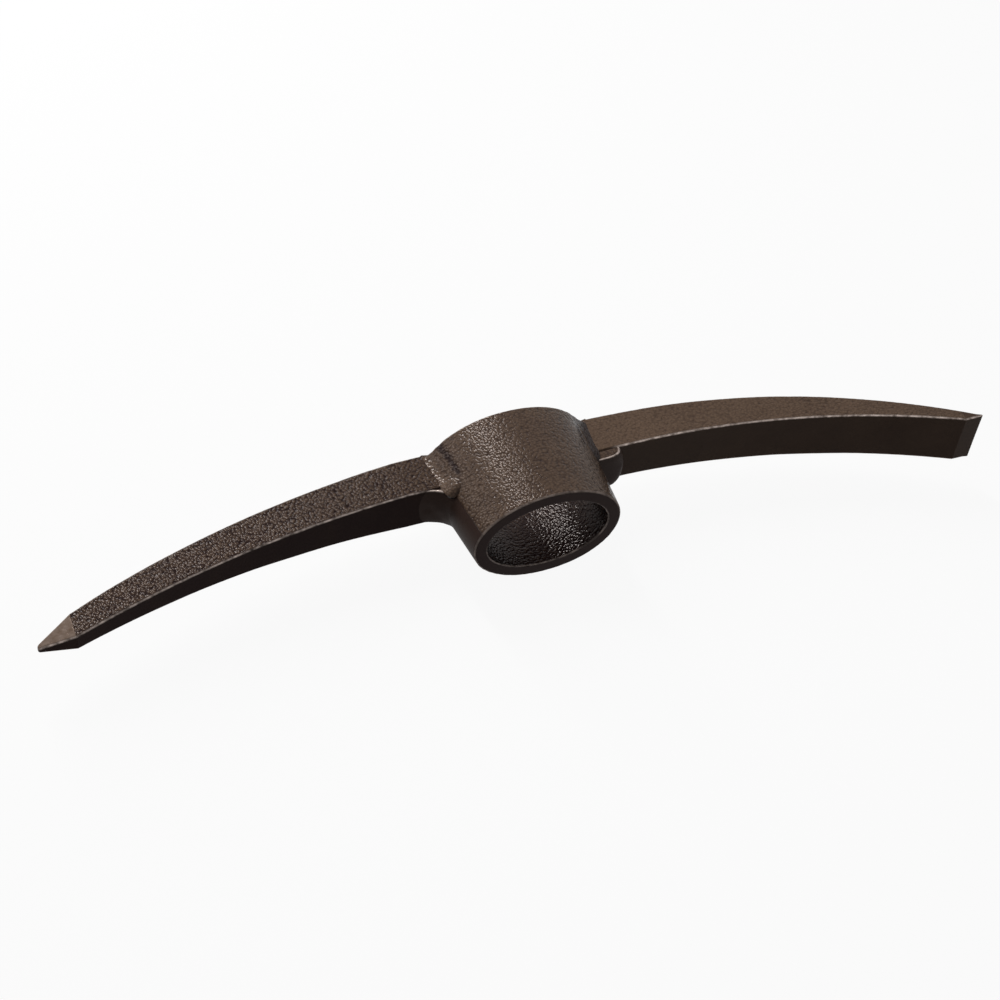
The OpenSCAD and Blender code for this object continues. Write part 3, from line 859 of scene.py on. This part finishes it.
# Run under the belly, as wide as the bar, with its two ends rounded off like the edges of the bar
def makeUnderRun(weld):
    y = barHalf * np.sin(np.linspace(-quarterTurn, quarterTurn, welds["underStops"]))
    z = np.full_like(y, rootBelly)
    foot = np.stack([wallX(y, z), y, z], axis=-1)
    barOut = np.broadcast_to([0.0, 0.0, -1.0], foot.shape)
    inset = endRound(barHalf - np.abs(y), bar["edge"], bar["edge"])
    barLeg = weld["underBarLeg"] * legWander(y)
    eyeLeg = weld["underEyeLeg"] * legWander(y)
    fullness = np.full_like(y, weld["underFullness"])
    rings = weldRings(foot, barOut, barLeg, eyeLeg, fullness, inset, weld["arm"], 1)
    drawnShare = inset[:, None] / bar["edge"]
    # Rounded ends: lighter as part wear and part painted highlight
    wearsheen = hump(drawnShare)
    # Painted shade under the belly, lighter towards the rounded ends as painted highlight
    tone = mix(welds["underShadeToneShare"], welds["underEndHighlightToneShare"], drawnShare)
    grain = mix(welds["underGrainShare"], welds["grainShare"], drawnShare)
    looks = {"grain": grain, "tone": tone, "wearsheen": wearsheen}
    makeRun(weld, "Under", rings, 1, looks)


crownWeld = {
    "toe": 5.0,             # reach along the back of the bar
    "toeEndShare": 0.75,    # share of that reach at both ends
    "lap": 1.4,             # reach over the rim of the eye
    "depth": 4.0,           # how far it goes down into the steel
    "swell": 0.5,           # height of its middle over the line from toe to lap
    "ripple": 0.1,          # height of the ripples
    "pitch": 3.4,           # distance between two ripples
    "crescentShare": 0.35,  # how far the ripples bow, in pitches
    "stops": 76,
    "facePoints": 20,
}


# The bead across the crown: a low arch from its toe on the back of the bar to its lap on the rim, carried
# across the bar, with crescent ripples that fade at both ends
def makeCrownRun(weld):
    across = np.linspace(-1, 1, crownWeld["stops"])
    y = across * barHalf
    fade = np.sqrt(np.clip(1 - across ** 2, 0, 1))
    wall = wallX(y, np.full_like(y, crown))
    toeX = wall + crownWeld["toe"] * mix(crownWeld["toeEndShare"], 1.0, fade)
    toe = np.stack([toeX, y, np.full_like(y, rootBack)], axis=-1)
    lap = np.stack([wall - crownWeld["lap"] * fade, y, np.full_like(y, crown)], axis=-1)
    t = np.linspace(0, 1, crownWeld["facePoints"])[None, :, None]
    arch = hump(t)
    phase = 2 * math.pi * (y[:, None, None] / crownWeld["pitch"] - crownWeld["crescentShare"] * arch)
    lift = arch * fade[:, None, None] * (crownWeld["swell"] + crownWeld["ripple"] * np.cos(phase))
    face = mix(toe[:, None], lap[:, None], t) + lift * np.array([0, 0, 1])
    down = np.array([0, 0, crownWeld["depth"]])
    rings = np.concatenate([(toe - down)[:, None], face, (lap - down)[:, None]], axis=1)
    looks = {"grain": welds["grainShare"], "tone": welds["crownToneShare"], "wearsheen": 0.0}
    makeRun(weld, "Crown", rings, 1, looks)


for weld in (pointWeld, chiselWeld):
    makeSideRuns(weld)
    makeUnderRun(weld)
    makeCrownRun(weld)
print("pieces: eye, two arms and eight weld runs")

floorValues = {
    "size": 6.0,            # metres
    "colour": (0.5, 0.5, 0.5, 1),
    "roughness": 0.9,
    "glowShare": 0.93,      # plain white in what the camera sees, the rest is the floor with its shadow
}


# Mask that is 1 for rays from the camera and for those mirrored or let through on their way
def seenDirectly(nodes, links):
    path = nodes.new("ShaderNodeLightPath")
    either = mathNode(nodes, "MAXIMUM")
    anyOf = mathNode(nodes, "MAXIMUM")
    links.new(path.outputs["Is Camera Ray"], either.inputs[0])
    links.new(path.outputs["Is Glossy Ray"], either.inputs[1])
    links.new(either.outputs[0], anyOf.inputs[0])
    links.new(path.outputs["Is Transmission Ray"], anyOf.inputs[1])
    return anyOf.outputs[0]


# One flat square under the lowest point of the head
def makeFloor():
    half = floorValues["size"] / 2
    low = cadBox[0].z
    corners = [[-half, -half, low], [half, -half, low], [half, half, low], [-half, half, low]]
    mesh = bpy.data.meshes.new("floor")
    mesh.from_pydata(corners, [], [[0, 1, 2, 3]])
    floor = bpy.data.objects.new("floor", mesh)
    bpy.context.scene.collection.objects.link(floor)
    material = bpy.data.materials.new("floorWhite")
    material.use_nodes = True
    nodes, links = material.node_tree.nodes, material.node_tree.links
    shader = nodes["Principled BSDF"]
    shader.inputs["Base Color"].default_value = floorValues["colour"]
    shader.inputs["Roughness"].default_value = floorValues["roughness"]
    glow = nodes.new("ShaderNodeEmission")
    blend = nodes.new("ShaderNodeMixShader")
    share = mathNode(nodes, "MULTIPLY", second=floorValues["glowShare"])
    links.new(seenDirectly(nodes, links), share.inputs[0])
    links.new(share.outputs[0], blend.inputs[0])
    links.new(shader.outputs[0], blend.inputs[1])
    links.new(glow.outputs[0], blend.inputs[2])
    links.new(blend.outputs[0], nodes["Material Output"].inputs["Surface"])
    mesh.materials.append(material)


studio = {
    "colour": (1, 1, 1, 1),
    "ambient": 0.08,        # strength of the surround as a light
}
# Metres and watts: an upright strip behind the crown, a shorter one at the left and a small lamp high at the
# right
lamps = [
    {"name": "stripLamp", "place": (-0.18, 1.03, 0.93), "width": 0.12, "height": 1.2, "power": 25.0},
    {"name": "leftLamp", "place": (-0.96, 0.72, 0.72), "width": 0.16, "height": 0.8, "power": 5.0},
    {"name": "edgeLamp", "place": (0.62, 0.0, 1.1), "width": 0.2, "height": 0.2, "power": 0.6},
]


# A weak white surround, plain white where it is seen, and the lamps turned to the head
def makeLight():
    world = bpy.data.worlds.new("studio")
    world.use_nodes = True
    bpy.context.scene.world = world
    nodes, links = world.node_tree.nodes, world.node_tree.links
    background = nodes["Background"]
    background.inputs["Color"].default_value = studio["colour"]
    strength = mathNode(nodes, "MAXIMUM", second=studio["ambient"])
    links.new(seenDirectly(nodes, links), strength.inputs[0])
    links.new(strength.outputs[0], background.inputs["Strength"])
    for values in lamps:
        light = bpy.data.lights.new(values["name"], "AREA")
        light.shape = "RECTANGLE"
        light.size = values["width"]
        light.size_y = values["height"]
        light.energy = values["power"]
        lamp = bpy.data.objects.new(values["name"], light)
        lamp.location = values["place"]
        lamp.rotation_euler = Vector(values["place"]).to_track_quat("Z", "Y").to_euler()
        bpy.context.scene.collection.objects.link(lamp)


# Metres for the place, degrees for the turn, millimetres for the lens and the sensor
cameraValues = {
    "place": (-0.3187, -0.5891, 0.6771),
    "turn": (44.17, -4.76, -22.39),
    "lens": 62.753,
    "sensor": 36.0,
}


# Camera at the photograph's viewing angle
def makeCamera():
    data = bpy.data.cameras.new("camera")
    data.lens = cameraValues["lens"]
    data.sensor_width = cameraValues["sensor"]
    camera = bpy.data.objects.new("camera", data)
    camera.location = cameraValues["place"]
    camera.rotation_euler = [math.radians(angle) for angle in cameraValues["turn"]]
    bpy.context.scene.collection.objects.link(camera)
    bpy.context.scene.camera = camera


makeFloor()
makeLight()
makeCamera()
bpy.context.scene.view_settings.view_transform = "Standard"
print("stage: floor, light and camera")
